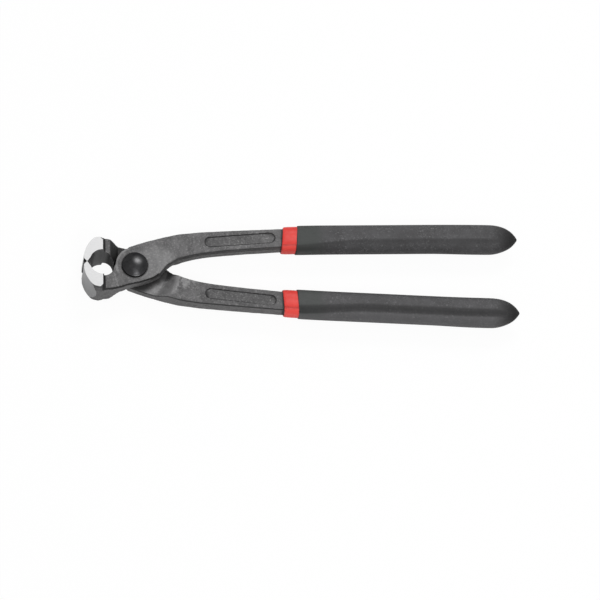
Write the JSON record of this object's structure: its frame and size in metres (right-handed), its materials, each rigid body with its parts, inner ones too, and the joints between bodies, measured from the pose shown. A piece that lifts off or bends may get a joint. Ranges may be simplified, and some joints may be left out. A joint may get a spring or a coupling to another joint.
{
  "type": "end cutting nippers",
  "caption": "End cutting nippers with a riveted lap joint, long forged handles, red inner sleeves showing as collars and dark grey pointed grips.",
  "frame": {"origin": "under the middle of the closed tool, at the level of the lower ground faces of the jaws", "axes": "+X along the tool from the jaws to the ends of the grips, +Y towards the handle of the front lever, +Z along the rivet out of the front lever's plate"},
  "size_m": [0.22, 0.0544, 0.0198],
  "materials": {
    "forged_steel": "dark forged scale, satin, with the side faces of the jaws ground bright",
    "rivet_steel": "blackened, semi-gloss",
    "red_plastic": "smooth satin dipped plastic",
    "grey_plastic": "finely textured dipped plastic"
  },
  "bodies": {
    "front": {"front_lever": "forged_steel", "rivet": "rivet_steel", "upper_inner_sleeve": "red_plastic", "upper_outer_grip": "grey_plastic"},
    "back": {"back_lever": "forged_steel", "lower_inner_sleeve": "red_plastic", "lower_outer_grip": "grey_plastic"}
  },
  "joints": [
    {"name": "jaw_pivot", "type": "hinge", "parent": "front", "child": "back", "pos_m": [-0.0843, 0, 0.0099], "axis": [0, 0, -1], "range_deg": [0, 35]}
  ]
}
